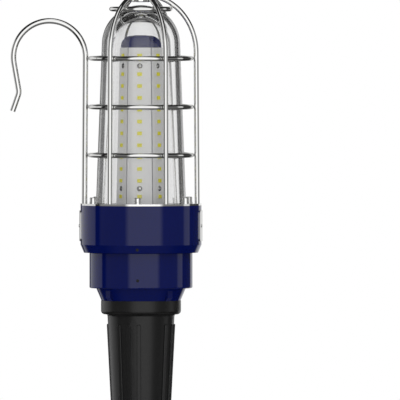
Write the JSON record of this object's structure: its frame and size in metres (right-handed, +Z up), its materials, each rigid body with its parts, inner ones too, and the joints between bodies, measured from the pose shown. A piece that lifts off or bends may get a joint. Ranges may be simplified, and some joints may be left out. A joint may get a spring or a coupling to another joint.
{
  "type": "work light",
  "caption": "Hand-held caged LED work light: ribbed handle, two-piece painted housing, thick glass dome over a six-sided LED column, and a wire guard with a hanging hook.",
  "frame": {"origin": "centre of the cable gland's mouth, on the lamp's axis, at the lowest end of the handle", "axes": "+Z up the lamp's axis from the gland to the guard's crown; the hook stands out along -X; the locking screws face -Y and the two plates wrap the +Y side"},
  "size_m": [0.1547, 0.0981, 0.403],
  "materials": {
    "nylon_black": "moulded nylon",
    "grip_black": "satin moulded rubberised plastic",
    "rubber_black": "matt",
    "silicone_white": "matt silicone",
    "stainless": "brushed",
    "plate_steel": "brushed, blank",
    "screw_dark": "black oxide",
    "aluminium_plain": "turned",
    "driver_case": "drawn case",
    "terminal_plastic": "moulded",
    "brass_screw": "plain",
    "paint_navy": "gloss enamel",
    "clear_glass": "clear toughened",
    "board_white": "white solder mask on aluminium",
    "led_yellow": "phosphor under silicone",
    "chrome_bright": "polished"
  },
  "bodies": {
    "root": {"base_screws": "stainless", "board_screws": "chrome_bright", "clamp_screws": "chrome_bright", "clamp_washers": "chrome_bright", "core_base": "paint_navy", "core_cap": "paint_navy", "core_screws": "stainless", "crown_boss": "chrome_bright", "driver_housing": "paint_navy", "driver_tray": "stainless", "gland_body": "nylon_black", "gland_nut": "nylon_black", "gland_seal": "rubber_black", "gland_washer": "stainless", "glass_dome": "clear_glass", "glass_gasket_lower": "silicone_white", "glass_gasket_upper": "silicone_white", "guard_base_flange": "chrome_bright", "guard_ring_lower": "chrome_bright", "guard_ring_middle": "chrome_bright", "guard_ring_top": "chrome_bright", "guard_ring_upper": "chrome_bright", "guard_rod_1": "chrome_bright", "guard_rod_2": "chrome_bright", "guard_rod_3": "chrome_bright", "guard_rod_4": "chrome_bright", "guard_rod_5": "chrome_bright", "handle_grip": "grip_black", "handle_grub_screw": "screw_dark", "handle_seal": "rubber_black", "handle_tube": "aluminium_plain", "hook_rod": "chrome_bright", "housing_grub_screw": "screw_dark", "housing_seal": "rubber_black", "lamp_housing": "paint_navy", "led_board_1": "board_white", "led_board_2": "board_white", "led_board_3": "board_white", "led_board_4": "board_white", "led_board_5": "board_white", "led_board_6": "board_white", "led_chips_1": "led_yellow", "led_chips_2": "led_yellow", "led_chips_3": "led_yellow", "led_chips_4": "led_yellow", "led_chips_5": "led_yellow", "led_chips_6": "led_yellow", "led_core": "paint_navy", "led_driver": "driver_case", "plate_rivets": "stainless", "rating_plate_left": "plate_steel", "rating_plate_right": "plate_steel", "spring_washers": "chrome_bright", "terminal_block": "terminal_plastic", "terminal_screws": "brass_screw", "tray_screws": "stainless", "tray_spacers": "stainless"}
  },
  "joints": []
}
